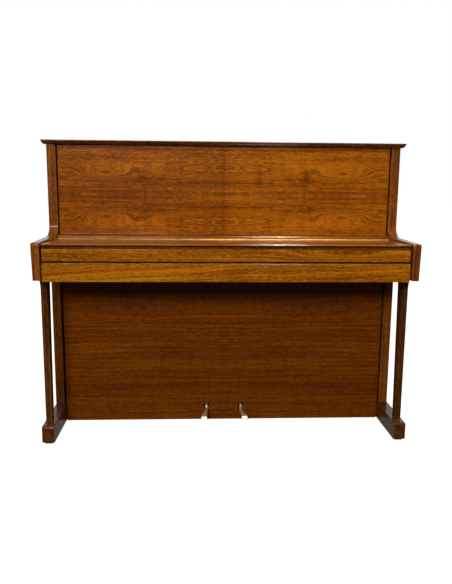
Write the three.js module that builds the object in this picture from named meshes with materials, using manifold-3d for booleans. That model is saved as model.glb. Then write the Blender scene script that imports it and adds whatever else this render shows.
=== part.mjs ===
// Upright piano with a plain walnut case, slim front legs on toe blocks and two pedals.
// Millimetres, +Z up. The player sits on the -Y side. The origin is the centre of the
// footprint, on the floor.
import * as THREE from 'three';
import { mergeVertices } from 'three/addons/utils/BufferGeometryUtils.js';
import Module from 'manifold-3d';

const wasm = await Module();
wasm.setup();

// ---------------------------------------------------------------- driving dimensions
const WIDTH = 1440;              // across the arms
const DEPTH = 600;               // arm fronts to the back
const HEIGHT = 1186;             // top of the lid
const GAP = 0.3;                 // clearance where two pieces touch
const EASE = 1.5;                // small chamfer on the edges of case parts

const HALF = WIDTH / 2;
const FRONT = -DEPTH / 2;
const BACK = DEPTH / 2;

const LID_T = 17;                // lid board thickness
const LID_OVERHANG = 15;         // in front
const LID_END_OVERHANG = 19;     // at each end
const LID_JOINT_Y = 151;         // where the flap meets the fixed rear board
const LID_UNDER = HEIGHT - LID_T;
const LID_EASE = 2;
const LID_HINGE_R = 2;

const SIDE_T = 36;               // side panel thickness
const SIDE_IN = HALF - SIDE_T;   // inner face of the sides
const CASE_FRONT = 12;           // front edge of the sides
const FIT_HALF = SIDE_IN - 0.6;  // half width of what fits between the sides

const ARM_T = 30.6;
const ARM_IN = HALF - ARM_T;
const ARM_TOP = 805;             // at the rear, under the cove
const ARM_TOP_FRONT = 802.6;
const ARM_BOTTOM = 664;
const ARM_NOSE_R = 8;            // rounding of the arm's front top corner
const ARM_TAPER = 3.4;           // how far the outer face leans in over its height
const COVE_REACH = 58;           // cove between the side's front edge and the arm
const COVE_RISE = 43;
const ARM_REAR = CASE_FRONT - COVE_REACH;

const TOE_IN = 676.5;
const TOE_OUT = 724.6;
const TOE_FRONT = -231.6;
const TOE_TOP = 74.7;
const TOE_R = 9;                 // rounding of the toe's front corners
const PAD_H = 5;                 // pad under each toe

const LEG_IN = 692.2;
const LEG_OUT = 717.4;
const LEG_FRONT = -184;
const LEG_DEPTH = 54;            // at the top
const LEG_TAPER = 22;            // how much less deep the foot is
const LEG_FLARE_OUT = 9;         // flare under the arm, outer and inner side
const LEG_FLARE_IN = 4;
const LEG_FLARE_H = 55;

const DOOR_FRONT = 18;           // front face of the top and bottom doors
const DOOR_T = 20;
const DOOR_HALF = 676;
const TOP_DOOR_HALF = 678;
const TOP_DOOR_BOTTOM = 807;
const PLINTH_TOP = 70;
const PLINTH_BOTTOM = 3;
const BOTTOM_DOOR_Z = 71.5;
const BOTTOM_DOOR_TOP = 656;
const FLOOR_BOTTOM = 20;         // boards that close the case underneath
const FLOOR_TOP = 40;

const KEY_BED_BOTTOM = 662;
const KEY_BED_TOP = 698;
const KEY_BED_REAR = 84;
const SLIP_FRONT = -288.6;
const SLIP_T = 18.6;
const SLIP_HALF = 685;
const SLIP_BOTTOM = 658.3;
const SLIP_TOP = 727.5;

const FALL_REAR = -16.2;         // rear edge of the fallboard's top
const FALL_REAR_Z = 791;         // its top surface there, and at the front
const FALL_FRONT_Z = 800;
const FALL_T = 18;
const FALL_NOSE = -296;          // nosing that overhangs the drop front
const FALL_FACE = -289;          // face of the drop front
const FALL_FACE_T = 19;
const FALL_FACE_BOTTOM = 734.5;
const FALL_PIN = { y: -13.5, z: 792.6, r: 2.4 };
const RAIL_FRONT = -10.8;        // fixed rail behind the fallboard
const RAIL_BOTTOM = 772;
const RAIL_TOP = 806;
const BLOCK_TOP = 762;           // cheek blocks at both ends of the keys

const WHITE_PITCH = 23.5;
const WHITE_COUNT = 52;
const KEY_FRONT = -262;
const KEY_REAR = 60;
const KEY_UNDER = 716;
const WHITE_TOP = 737.5;
const BLACK_TOP = 749;
const BLACK_FRONT = -207;
const KEY_SHOW = -112;           // rear end of the visible key tops
const KEY_SLACK = 0.5;           // half the gap between neighbouring keys
const BLACK_HALF = 5;
const KEYS_LEFT = (-WHITE_PITCH * WHITE_COUNT) / 2;
const OCTAVE_WHITE = 23;         // white keys to the left of the middle octave
const OCTAVE_SIZE = 7;
const BALANCE_Y = -70;

const BACK_FACE = BACK - 2;      // rear face of the back posts
const POST_FRONT = 215;
const POST_W = 75;
const STRING_Y = 150;
const PLATE_FRONT = 158;
const PLATE_REAR = 169.7;
const SOUNDBOARD_FRONT = 206;
const SOUNDBOARD_HALF = 670;
const BEAM_SPLIT = 1010;         // underside of the top beam
const BOTTOM_BEAM_TOP = 215;
const POST_SPACING = 400;
const BACK_EASE = 2;
const STRING_LOW = 190;
const STRING_WAIST = 500;
const STRING_HIGH = 1080;
const PLATE_HALF = 676;
const PLATE_TOP = 1160;
const PLATE_RIM = 16;
const RIM_Z = [100, 984];        // height of the rim behind the plate
const WINDOW_X = [60, 600];
const WINDOW_Z = [330, 880];

const PEDAL_X = 74;
const PEDAL_PIVOT_Y = 180;
const LEVER_Y = 100;             // trap levers and rods
const LEVER_PIVOT_X = 330;
const ROD_X = 586;
const ACTION_END = 640;
const ACTION_RAIL = [770, 800];  // height of the main action rail
const HAMMER_HALF = 600;         // half the length of the rows of hammers and dampers
const LEVER_Z = [78, 96];        // trap lever's height

// ---------------------------------------------------------------- finishes
const FINISH = {
  walnut: { color: 0x8a4a14, roughness: 0.28, metalness: 0 },
  walnut_dark: { color: 0x5c3413, roughness: 0.32, metalness: 0 },
  pine: { color: 0xc59a64, roughness: 0.7, metalness: 0 },
  spruce: { color: 0xd8b070, roughness: 0.45, metalness: 0 },
  ivory: { color: 0xf0ead8, roughness: 0.25, metalness: 0 },
  ebony: { color: 0x141210, roughness: 0.3, metalness: 0 },
  felt: { color: 0x7a2a22, roughness: 0.95, metalness: 0 },
  bronze_iron: { color: 0x9c7a3a, roughness: 0.45, metalness: 0.6 },
  steel: { color: 0xb8b8b4, roughness: 0.3, metalness: 1 },
  brass: { color: 0xd8c28a, roughness: 0.22, metalness: 1 },
};

const piano = new THREE.Group();

function place(name, finish, geometry) {
  const mesh = new THREE.Mesh(geometry, new THREE.MeshStandardMaterial(FINISH[finish]));
  mesh.name = name;
  piano.add(mesh);
  return mesh;
}

// ---------------------------------------------------------------- geometry helpers
// A closed outline through plain [a, b] points.
function outline(points) {
  return new THREE.Shape(points.map(([a, b]) => new THREE.Vector2(a, b)));
}

// An outline pushed from one coordinate to another; ease chamfers its rim at both ends.
function extrude(shape, from, to, ease, segments) {
  const geometry = new THREE.ExtrudeGeometry(shape, {
    depth: to - from - 2 * ease,
    curveSegments: segments,
    bevelEnabled: ease > 0,
    bevelThickness: ease,
    bevelSize: ease,
    bevelOffset: -ease,
    bevelSegments: 1,
  });
  return geometry.translate(0, 0, from + ease);
}

// A (y, z) outline along X.
function alongX(shape, from, to, ease = 0, segments = 6) {
  const turn = new THREE.Matrix4().set(0, 0, 1, 0, 1, 0, 0, 0, 0, 1, 0, 0, 0, 0, 0, 1);
  return extrude(shape, from, to, ease, segments).applyMatrix4(turn);
}

// An (x, z) outline along Y.
function alongY(shape, from, to, ease = 0, segments = 6) {
  const turn = new THREE.Matrix4().set(1, 0, 0, 0, 0, 0, -1, 0, 0, 1, 0, 0, 0, 0, 0, 1);
  return extrude(shape, -to, -from, ease, segments).applyMatrix4(turn);
}

// An (x, y) outline along Z.
function alongZ(shape, from, to, ease = 0, segments = 6) {
  return extrude(shape, from, to, ease, segments);
}

function rectangle(a0, a1, b0, b1) {
  return outline([[a0, b0], [a1, b0], [a1, b1], [a0, b1]]);
}

// A board given by its two ends on each axis.
function board([x0, x1], [y0, y1], [z0, z1], ease = 0) {
  return alongX(rectangle(y0, y1, z0, z1), x0, x1, ease);
}

function solid(geometry) {
  const bare = geometry.clone();
  bare.deleteAttribute('normal');
  bare.deleteAttribute('uv');
  const welded = mergeVertices(bare, 1e-4);
  const vertProperties = new Float32Array(welded.getAttribute('position').array);
  const triVerts = new Uint32Array(welded.getIndex().array);
  return new wasm.Manifold(new wasm.Mesh({ numProp: 3, vertProperties, triVerts }));
}

function surface(manifold) {
  const { vertProperties, triVerts } = manifold.getMesh();
  const geometry = new THREE.BufferGeometry();
  geometry.setAttribute('position', new THREE.BufferAttribute(vertProperties, 3));
  geometry.setIndex(new THREE.BufferAttribute(triVerts, 1));
  return geometry;
}

function join(...geometries) {
  return surface(geometries.map(solid).reduce((whole, piece) => whole.add(piece)));
}

function cut(geometry, ...tools) {
  return surface(tools.map(solid).reduce((whole, tool) => whole.subtract(tool), solid(geometry)));
}

function overlap(first, second) {
  return surface(solid(first).intersect(solid(second)));
}

// The same shape on the left side, faces still pointing out.
function mirrored(geometry) {
  const copy = (geometry.index ? geometry.toNonIndexed() : geometry.clone()).scale(-1, 1, 1);
  const position = copy.getAttribute('position');
  const corner = new THREE.Vector3();
  const other = new THREE.Vector3();
  for (let i = 0; i < position.count; i += 3) {
    corner.fromBufferAttribute(position, i + 1);
    other.fromBufferAttribute(position, i + 2);
    position.setXYZ(i + 1, other.x, other.y, other.z);
    position.setXYZ(i + 2, corner.x, corner.y, corner.z);
  }
  return copy;
}

// A right-hand piece and its mirror image.
function placePair(name, finish, geometry) {
  place(`${name}_right`, finish, geometry);
  place(`${name}_left`, finish, mirrored(geometry));
}

// ---------------------------------------------------------------- case
// The side's front edge runs down from the lid and sweeps forward in a cove to meet the arm.
function sidePanel() {
  const shape = new THREE.Shape();
  shape.moveTo(CASE_FRONT, TOE_TOP + GAP);
  shape.lineTo(BACK, TOE_TOP + GAP);
  shape.lineTo(BACK, LID_UNDER - GAP);
  shape.lineTo(CASE_FRONT, LID_UNDER - GAP);
  const coveTop = ARM_TOP + COVE_RISE;
  shape.absellipse(ARM_REAR, coveTop, COVE_REACH, COVE_RISE, 0, -Math.PI / 2, true, 0);
  shape.lineTo(ARM_REAR, ARM_BOTTOM);
  shape.lineTo(CASE_FRONT, ARM_BOTTOM);
  return alongX(shape, SIDE_IN, HALF, EASE, 8);
}

function arm() {
  const rear = ARM_REAR - GAP;
  const shape = new THREE.Shape();
  shape.moveTo(rear, ARM_BOTTOM);
  shape.lineTo(rear, ARM_TOP);
  shape.lineTo(FRONT + ARM_NOSE_R, ARM_TOP_FRONT);
  const noseZ = ARM_TOP_FRONT - ARM_NOSE_R;
  shape.absarc(FRONT + ARM_NOSE_R, noseZ, ARM_NOSE_R, Math.PI / 2, Math.PI, false);
  shape.lineTo(FRONT, ARM_BOTTOM);
  const geometry = alongX(shape, ARM_IN, HALF, EASE);
  return leanedIn(geometry);
}

// Moves the outer face in towards its foot, in proportion to height.
function leanedIn(geometry) {
  const position = geometry.getAttribute('position');
  const height = ARM_TOP - ARM_BOTTOM;
  const middle = (ARM_IN + HALF) / 2;
  for (let i = 0; i < position.count; i += 1) {
    const drop = (ARM_TOP - position.getZ(i)) / height;
    const isOuter = position.getX(i) > middle;
    if (isOuter) {
      position.setX(i, position.getX(i) - ARM_TAPER * drop);
    }
  }
  return geometry;
}

function toe() {
  const shape = new THREE.Shape();
  shape.moveTo(BACK - 2, PAD_H + GAP);
  shape.lineTo(BACK - 2, TOE_TOP);
  shape.absarc(TOE_FRONT + TOE_R, TOE_TOP - TOE_R, TOE_R, Math.PI / 2, Math.PI, false);
  shape.lineTo(TOE_FRONT, PAD_H + GAP + TOE_R);
  shape.lineTo(TOE_FRONT + TOE_R, PAD_H + GAP);
  return alongX(shape, TOE_IN, TOE_OUT, EASE);
}

function toePad() {
  const inset = 8;
  return board([TOE_IN + inset, TOE_OUT - inset], [TOE_FRONT + TOE_R + 2, BACK - 10], [0, PAD_H]);
}

// A slim leg that gets deeper to its top, which spreads out under the arm.
function leg() {
  const top = ARM_BOTTOM - GAP;
  const neck = top - LEG_FLARE_H;
  const foot = TOE_TOP + GAP;
  const shape = new THREE.Shape();
  shape.moveTo(LEG_IN, foot);
  shape.lineTo(LEG_OUT, foot);
  const quarter = Math.PI / 2;
  const outer = LEG_OUT + LEG_FLARE_OUT;
  shape.absellipse(outer, neck, LEG_FLARE_OUT, LEG_FLARE_H, 2 * quarter, quarter, true, 0);
  shape.absellipse(LEG_IN - LEG_FLARE_IN, neck, LEG_FLARE_IN, LEG_FLARE_H, quarter, 0, true, 0);
  const geometry = alongY(shape, LEG_FRONT, LEG_FRONT + LEG_DEPTH);
  return taperedBehind(geometry, foot, top);
}

// Moves the rear face forward towards the foot, in proportion to height.
function taperedBehind(geometry, foot, top) {
  const position = geometry.getAttribute('position');
  for (let i = 0; i < position.count; i += 1) {
    const drop = (top - position.getZ(i)) / (top - foot);
    const isRear = position.getY(i) > LEG_FRONT + LEG_DEPTH / 2;
    if (isRear) {
      position.setY(i, position.getY(i) - LEG_TAPER * drop);
    }
  }
  return geometry;
}

function lidBoard(front, rear) {
  const half = HALF + LID_END_OVERHANG;
  return alongZ(rectangle(-half, half, front, rear), LID_UNDER, HEIGHT, LID_EASE);
}

// A long hinge barrel lying along X.
function barrel(y, z, radius, half) {
  const geometry = new THREE.CylinderGeometry(radius, radius, 2 * half, 10);
  return geometry.rotateZ(Math.PI / 2).translate(0, y, z);
}

function buildCase() {
  placePair('side', 'walnut', sidePanel());
  placePair('arm', 'walnut', arm());
  placePair('toe', 'walnut_dark', toe());
  placePair('toe_pad', 'ebony', toePad());
  placePair('leg', 'walnut_dark', leg());
  place('lid_rear', 'walnut', lidBoard(LID_JOINT_Y + 1, BACK));
  place('lid_flap', 'walnut', lidBoard(CASE_FRONT - LID_OVERHANG, LID_JOINT_Y));
  const lidHingeZ = HEIGHT + LID_HINGE_R + GAP;
  place('lid_hinge', 'brass', barrel(LID_JOINT_Y + 0.5, lidHingeZ, LID_HINGE_R, HALF + 10));
  const topDoorX = [-TOP_DOOR_HALF, TOP_DOOR_HALF];
  const doorY = [DOOR_FRONT, DOOR_FRONT + DOOR_T];
  place('top_door', 'walnut', board(topDoorX, doorY, [TOP_DOOR_BOTTOM, LID_UNDER - 1.5], EASE));
}

// ---------------------------------------------------------------- lower case
// The space that a pedal's neck moves in, through the plinth and up into the door's foot.
function pedalSlot(side) {
  const halfWidth = 12;
  const sill = 42;
  const springing = 70;
  const crown = 10;
  const margin = 5;
  const centre = side * PEDAL_X;
  const shape = new THREE.Shape();
  shape.moveTo(centre - halfWidth, sill);
  shape.lineTo(centre + halfWidth, sill);
  shape.absellipse(centre, springing, halfWidth, crown, 0, Math.PI, false, 0);
  return alongY(shape, DOOR_FRONT - margin, DOOR_FRONT + DOOR_T + margin, 0, 8);
}

function buildLowerCase() {
  const doorX = [-DOOR_HALF, DOOR_HALF];
  const doorY = [DOOR_FRONT, DOOR_FRONT + DOOR_T];
  const slots = [pedalSlot(-1), pedalSlot(1)];
  const door = board(doorX, doorY, [BOTTOM_DOOR_Z, BOTTOM_DOOR_TOP], EASE);
  place('bottom_door', 'walnut', cut(door, ...slots));
  const plinth = board(doorX, doorY, [PLINTH_BOTTOM, PLINTH_TOP], EASE);
  place('plinth', 'walnut', cut(plinth, ...slots));
  place('bottom_board', 'pine', bottomBoard());
}

// The floor of the case, with the stands that carry the pedals and the trap levers.
function bottomBoard() {
  const depth = [DOOR_FRONT + DOOR_T + GAP, POST_FRONT - GAP];
  const base = board([-DOOR_HALF, DOOR_HALF], depth, [FLOOR_BOTTOM, FLOOR_TOP]);
  const root = FLOOR_TOP - 1;
  const leverStandTop = 77;
  const pedalStandTop = 60.8;
  const stands = [-1, 1].flatMap((side) => {
    const lever = side * LEVER_PIVOT_X;
    const pedal = side * PEDAL_X;
    const leverY = [LEVER_Y - 12, LEVER_Y + 12];
    const pedalY = [PEDAL_PIVOT_Y - 8, PEDAL_PIVOT_Y + 8];
    return [
      board([lever - 10, lever + 10], leverY, [root, leverStandTop]),
      board([pedal - 14, pedal + 14], pedalY, [root, pedalStandTop]),
    ];
  });
  return join(base, ...stands);
}

// ---------------------------------------------------------------- keyboard and fallboard
// The fallboard's top rises a little to the front and ends in a nosing with a cove under it.
function fallTop() {
  const noseR = 4;
  const slope = (FALL_FRONT_Z - FALL_REAR_Z) / (FALL_REAR - FALL_NOSE);
  const coveFoot = FALL_FRONT_Z - FALL_T - 0.7;
  const shape = new THREE.Shape();
  shape.moveTo(FALL_REAR, FALL_REAR_Z - FALL_T);
  shape.lineTo(FALL_REAR, FALL_REAR_Z);
  shape.lineTo(FALL_NOSE + noseR, FALL_FRONT_Z - slope * noseR);
  const noseZ = FALL_FRONT_Z - slope * noseR - noseR;
  shape.absarc(FALL_NOSE + noseR, noseZ, noseR, Math.PI / 2, Math.PI, false);
  const reach = FALL_FACE - FALL_NOSE;
  shape.absellipse(FALL_NOSE, coveFoot, reach, noseZ - coveFoot - 2, Math.PI / 2, 0, true, 0);
  return alongX(shape, -FIT_HALF, FIT_HALF, 1);
}

// A nameboard strip behind the keys, with a shelf that reaches back to the rail.
function nameBoard() {
  const front = KEY_SHOW + 2;
  const bottom = 752;
  const top = RAIL_BOTTOM - 1;
  const rear = RAIL_FRONT - GAP;
  const thick = 12;
  return alongX(outline([
    [front, bottom],
    [front + thick, bottom],
    [front + thick, top - thick],
    [rear, top - thick],
    [rear, top],
    [front, top],
  ]), -FIT_HALF, FIT_HALF);
}

function buildKeyboardCase() {
  const railY = [RAIL_FRONT, DOOR_FRONT + DOOR_T];
  const rail = board([-FIT_HALF, FIT_HALF], railY, [RAIL_BOTTOM, RAIL_TOP], 1);
  place('fall_rail', 'walnut', rail);
  place('fall_top', 'walnut', fallTop());
  const face = [FALL_FACE, FALL_FACE + FALL_FACE_T];
  const faceTop = FALL_FRONT_Z - FALL_T - 1.7;
  const fallX = [-FIT_HALF, FIT_HALF];
  place('fall_front', 'walnut', board(fallX, face, [FALL_FACE_BOTTOM, faceTop], 1));
  place('fall_hinge', 'brass', barrel(FALL_PIN.y, FALL_PIN.z, FALL_PIN.r, FIT_HALF - 1));
  place('name_board', 'walnut', nameBoard());
  const slipX = [-SLIP_HALF, SLIP_HALF];
  const slipY = [SLIP_FRONT, SLIP_FRONT + SLIP_T];
  place('key_slip', 'walnut', board(slipX, slipY, [SLIP_BOTTOM, SLIP_TOP], EASE));
  const bedX = [-FIT_HALF, FIT_HALF];
  const bedY = [SLIP_FRONT + SLIP_T + GAP, KEY_BED_REAR];
  place('key_bed', 'pine', board(bedX, bedY, [KEY_BED_BOTTOM, KEY_BED_TOP]));
  const blockX = [-KEYS_LEFT + 2, FIT_HALF - 1];
  const blockY = [KEY_FRONT, KEY_SHOW];
  placePair('key_block', 'walnut', board(blockX, blockY, [KEY_BED_TOP + GAP, BLOCK_TOP], 2));
}

// ---------------------------------------------------------------- keys
// Black keys by the white key on their left, counted from C, and how far each sits off the joint.
const BLACK_OFFSETS = { 0: -2.2, 1: 2.2, 3: -3, 4: 0, 5: 3 };
const WHITE_NAMES = ['c', 'd', 'e', 'f', 'g', 'a', 'b'];
const LOWEST_STEP = 5;           // the keyboard starts on A

function stepOf(white) {
  return (white + LOWEST_STEP) % OCTAVE_SIZE;
}

// The middle of the black key to the right of a white key, or null where there is none.
function blackCentre(white) {
  const offset = BLACK_OFFSETS[stepOf(white)];
  if (white < 0 || white >= WHITE_COUNT - 1 || offset === undefined) {
    return null;
  }
  return KEYS_LEFT + (white + 1) * WHITE_PITCH + offset;
}

// A wide head in front, and a tail that passes between the neighbouring black keys.
function whiteKey(white) {
  const left = KEYS_LEFT + white * WHITE_PITCH + KEY_SLACK;
  const right = left + WHITE_PITCH - 2 * KEY_SLACK;
  const leftBlack = blackCentre(white - 1);
  const rightBlack = blackCentre(white);
  const clear = BLACK_HALF + 1;
  const tailLeft = leftBlack === null ? left : leftBlack + clear;
  const tailRight = rightBlack === null ? right : rightBlack - clear;
  const shoulder = BLACK_FRONT - 2;
  const points = [[left, KEY_FRONT], [right, KEY_FRONT]];
  if (tailRight !== right) {
    points.push([right, shoulder]);
  }
  points.push([tailRight, tailRight === right ? KEY_REAR : shoulder]);
  if (tailRight !== right) {
    points.push([tailRight, KEY_REAR]);
  }
  points.push([tailLeft, KEY_REAR]);
  if (tailLeft !== left) {
    points.push([tailLeft, shoulder]);
    points.push([left, shoulder]);
  }
  return alongZ(outline(points), KEY_UNDER, WHITE_TOP);
}

function blackKey(white) {
  const centre = blackCentre(white);
  const stick = WHITE_TOP - 3;
  return alongX(outline([
    [BLACK_FRONT, KEY_UNDER],
    [KEY_REAR, KEY_UNDER],
    [KEY_REAR, stick],
    [KEY_SHOW, stick],
    [KEY_SHOW, BLACK_TOP],
    [BLACK_FRONT + 5, BLACK_TOP],
    [BLACK_FRONT, stick],
  ]), centre - BLACK_HALF, centre + BLACK_HALF);
}

// Neighbouring keys outside the middle octave, joined into one piece.
function keyGroup(first, last) {
  const left = KEYS_LEFT + first * WHITE_PITCH + KEY_SLACK;
  const right = KEYS_LEFT + (last + 1) * WHITE_PITCH - KEY_SLACK;
  const whites = board([left, right], [KEY_FRONT, KEY_REAR], [KEY_UNDER, WHITE_TOP]);
  const blacks = [];
  for (let white = first; white < last; white += 1) {
    const centre = blackCentre(white);
    if (centre !== null) {
      const x = [centre - BLACK_HALF, centre + BLACK_HALF];
      blacks.push(board(x, [BLACK_FRONT, KEY_SHOW], [WHITE_TOP - 1, BLACK_TOP]));
    }
  }
  return join(whites, ...blacks);
}

function buildKeys() {
  const bed = KEY_BED_TOP + GAP;
  const sheet = bed + 4;
  const railTop = KEY_UNDER - GAP;
  const backRail = KEY_REAR - 25;
  const frame = outline([
    [KEY_FRONT, bed],
    [KEY_REAR, bed],
    [KEY_REAR, railTop],
    [backRail, railTop],
    [backRail, sheet],
    [BALANCE_Y + 10, sheet],
    [BALANCE_Y + 2, railTop],
    [BALANCE_Y - 2, railTop],
    [BALANCE_Y - 10, sheet],
    [KEY_FRONT, sheet],
  ]);
  place('key_frame', 'pine', alongX(frame, KEYS_LEFT, -KEYS_LEFT));
  place('keys_bass', 'ivory', keyGroup(0, OCTAVE_WHITE - 1));
  place('keys_treble', 'ivory', keyGroup(OCTAVE_WHITE + OCTAVE_SIZE, WHITE_COUNT - 1));
  WHITE_NAMES.forEach((letter, i) => {
    const white = OCTAVE_WHITE + i;
    place(`key_${letter}4`, 'ivory', whiteKey(white));
    if (blackCentre(white) !== null) {
      place(`key_${letter}4_sharp`, 'ebony', blackKey(white));
    }
  });
}

// ---------------------------------------------------------------- back, plate and strings
function buildBack() {
  const backY = [POST_FRONT, BACK_FACE];
  const backX = [-FIT_HALF, FIT_HALF];
  const topBeam = [BEAM_SPLIT, LID_UNDER - 1];
  const bottomBeam = [FLOOR_BOTTOM, BOTTOM_BEAM_TOP];
  const bottomX = [-DOOR_HALF, DOOR_HALF];
  place('back_top_beam', 'pine', board(backX, backY, topBeam, BACK_EASE));
  place('back_bottom_beam', 'pine', board(bottomX, backY, bottomBeam, BACK_EASE));
  const postZ = [BOTTOM_BEAM_TOP + GAP, BEAM_SPLIT - GAP];
  ['left', 'middle', 'right'].forEach((side, i) => {
    const centre = (i - 1) * POST_SPACING;
    const postX = [centre - POST_W / 2, centre + POST_W / 2];
    place(`back_post_${side}`, 'pine', board(postX, backY, postZ, BACK_EASE));
  });
  const soundX = [-SOUNDBOARD_HALF, SOUNDBOARD_HALF];
  const boardY = [SOUNDBOARD_FRONT, POST_FRONT - GAP];
  place('soundboard', 'spruce', board(soundX, boardY, [RIM_Z[0] + 10, RIM_Z[1]]));
  const pinBlockY = [PLATE_REAR + GAP, POST_FRONT - GAP];
  place('pin_block', 'pine', board(soundX, pinBlockY, [RIM_Z[1] + 1, PLATE_TOP]));
  place('iron_plate', 'bronze_iron', ironPlate());
  place('strings', 'steel', alongY(outline([
    [-600, STRING_LOW],
    [600, STRING_LOW],
    [620, STRING_WAIST],
    [620, STRING_HIGH],
    [-620, STRING_HIGH],
    [-640, STRING_WAIST],
  ]), STRING_Y, STRING_Y + 2));
}

// A cast plate whose rim stands on the soundboard, with two large windows between its struts.
function ironPlate() {
  const half = PLATE_HALF;
  const rimIn = half - PLATE_RIM;
  const rimY = [PLATE_REAR - 1, SOUNDBOARD_FRONT - GAP];
  const face = board([-half, half], [PLATE_FRONT, PLATE_REAR], [RIM_Z[0], PLATE_TOP]);
  const foot = board([-half, half], rimY, [RIM_Z[0], RIM_Z[0] + PLATE_RIM]);
  const rightRim = board([rimIn, half], rimY, RIM_Z);
  const leftRim = board([-half, -rimIn], rimY, RIM_Z);
  const windowY = [PLATE_FRONT - 5, PLATE_REAR + 5];
  const windows = [
    board([-WINDOW_X[1], -WINDOW_X[0]], windowY, WINDOW_Z),
    board(WINDOW_X, windowY, WINDOW_Z),
  ];
  return cut(join(face, foot, rightRim, leftRim), ...windows);
}

// ---------------------------------------------------------------- action
function buildAction() {
  const foot = KEY_BED_TOP + GAP;
  const railY = [KEY_REAR + 2, KEY_BED_REAR - GAP];
  const bracket = () => outline([
    [railY[0], foot],
    [railY[1], foot],
    [railY[1], ACTION_RAIL[1]],
    [125, 960],
    [125, 1000],
    [110, 1000],
    [railY[0], 830],
  ]);
  place('action_frame', 'bronze_iron', join(
    board([-ACTION_END, ACTION_END], railY, ACTION_RAIL),
    alongX(bracket(), -ACTION_END - 10, -ACTION_END + 10),
    alongX(bracket(), ACTION_END - 10, ACTION_END + 10),
  ));
  place('hammer_rail', 'pine', board([-HAMMER_HALF - 5, HAMMER_HALF + 5], [82, 95.6], [876, 896], 2));
  place('hammers', 'felt', alongX(outline([
    [96, 800],
    [102, 800],
    [102, 905],
    [118, 925],
    [118, 965],
    [102, 985],
    [88, 975],
    [88, 915],
    [96, 905],
  ]), -HAMMER_HALF, HAMMER_HALF));
  place('dampers', 'felt', alongX(outline([
    [122, 800],
    [134, 800],
    [149.4, 830],
    [149.4, 880],
    [138, 880],
    [122, 818],
  ]), -HAMMER_HALF, HAMMER_HALF));
}

// ---------------------------------------------------------------- pedals
// Seen from the side, the lever leaves its slot, steps down and ends in a rolled lip.
function pedalSide() {
  return outline([
    [190, 62],
    [190, 74],
    [50, 75.7],
    [26, 78],
    [13, 78],
    [8, 75.5],
    [4, 69],
    [0, 61.8],
    [-6, 58.2],
    [-30, 55.4],
    [-62, 51],
    [-70, 48.5],
    [-74.5, 44],
    [-75, 41.5],
    [-73, 38.4],
    [-70, 38.6],
    [-62, 42.4],
    [-30, 47.8],
    [-14, 49.8],
    [-6, 50.4],
    [0, 52],
    [5, 57],
    [10, 61],
    [14, 62],
  ]);
}

// Seen from above, a narrow neck turns outwards and widens to a rounded pad.
function pedalPlan() {
  return outline([
    [68, 190],
    [68.5, 17],
    [66.5, 2],
    [67.5, -14],
    [69.5, -34],
    [71, -54],
    [73, -68],
    [79, -75.5],
    [93, -75.5],
    [99, -69],
    [97.5, -54],
    [88.5, -34],
    [82.5, -14],
    [81.5, 2],
    [79.5, 17],
    [80, 190],
  ]);
}

function buildPedals() {
  const pedal = overlap(alongX(pedalSide(), 50, 110), alongZ(pedalPlan(), 0, 100));
  placePair('pedal', 'brass', pedal);
  const leverX = [PEDAL_X - 8, ROD_X + 8];
  placePair('trap_lever', 'pine', board(leverX, [LEVER_Y - 8, LEVER_Y + 8], LEVER_Z, 2));
  const rodZ = [LEVER_Z[1] + 0.5, 786];
  const rodR = 6;
  const rod = new THREE.CylinderGeometry(rodR, rodR, rodZ[1] - rodZ[0], 10);
  rod.rotateX(Math.PI / 2).translate(ROD_X, LEVER_Y, (rodZ[0] + rodZ[1]) / 2);
  placePair('pedal_rod', 'pine', rod);
}

buildCase();
buildLowerCase();
buildKeyboardCase();
buildKeys();
buildBack();
buildAction();
buildPedals();

export default piano;
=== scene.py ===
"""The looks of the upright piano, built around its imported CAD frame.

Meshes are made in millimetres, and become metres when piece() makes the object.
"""
import math
import random

import bmesh
import bpy
from mathutils import Matrix, Vector


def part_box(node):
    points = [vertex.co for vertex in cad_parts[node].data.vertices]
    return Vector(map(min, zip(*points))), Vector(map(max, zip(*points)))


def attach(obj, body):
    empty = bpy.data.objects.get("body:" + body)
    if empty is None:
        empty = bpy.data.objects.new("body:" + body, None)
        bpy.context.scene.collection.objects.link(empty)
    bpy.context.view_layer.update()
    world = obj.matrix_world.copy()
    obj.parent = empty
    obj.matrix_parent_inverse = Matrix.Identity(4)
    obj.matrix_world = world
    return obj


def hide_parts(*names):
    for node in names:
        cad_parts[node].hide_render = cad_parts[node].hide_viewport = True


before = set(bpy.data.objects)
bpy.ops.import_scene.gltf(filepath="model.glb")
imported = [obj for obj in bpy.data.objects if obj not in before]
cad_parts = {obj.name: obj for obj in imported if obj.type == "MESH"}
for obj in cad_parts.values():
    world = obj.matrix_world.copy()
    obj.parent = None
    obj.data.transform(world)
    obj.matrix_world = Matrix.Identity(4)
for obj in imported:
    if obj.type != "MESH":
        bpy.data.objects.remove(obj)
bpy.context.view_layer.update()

MM = 0.001
dice = random.Random(7)


# ---------------------------------------------------------------- camera
EYE = (-0.12335, -2.58989, 1.0261)
SENSOR, LENS = 36, 38.65
YAW, DOWN, ROLL = -2.851, 9.963, 0.512


def make_camera():
    data = bpy.data.cameras.new("camera")
    data.sensor_width = SENSOR
    data.lens = LENS
    camera = bpy.data.objects.new("camera", data)
    bpy.context.scene.collection.objects.link(camera)
    yaw, pitch, roll = (math.radians(angle) for angle in (YAW, 90 - DOWN, ROLL))
    turn = Matrix.Rotation(yaw, 4, "Z") @ Matrix.Rotation(pitch, 4, "X")
    turn = turn @ Matrix.Rotation(roll, 4, "Z")
    camera.matrix_world = Matrix.Translation(EYE) @ turn
    bpy.context.scene.camera = camera


make_camera()


def size(node):
    """A CAD node's lowest and highest corner, in millimetres."""
    low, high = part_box(node)
    return low / MM, high / MM


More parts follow.
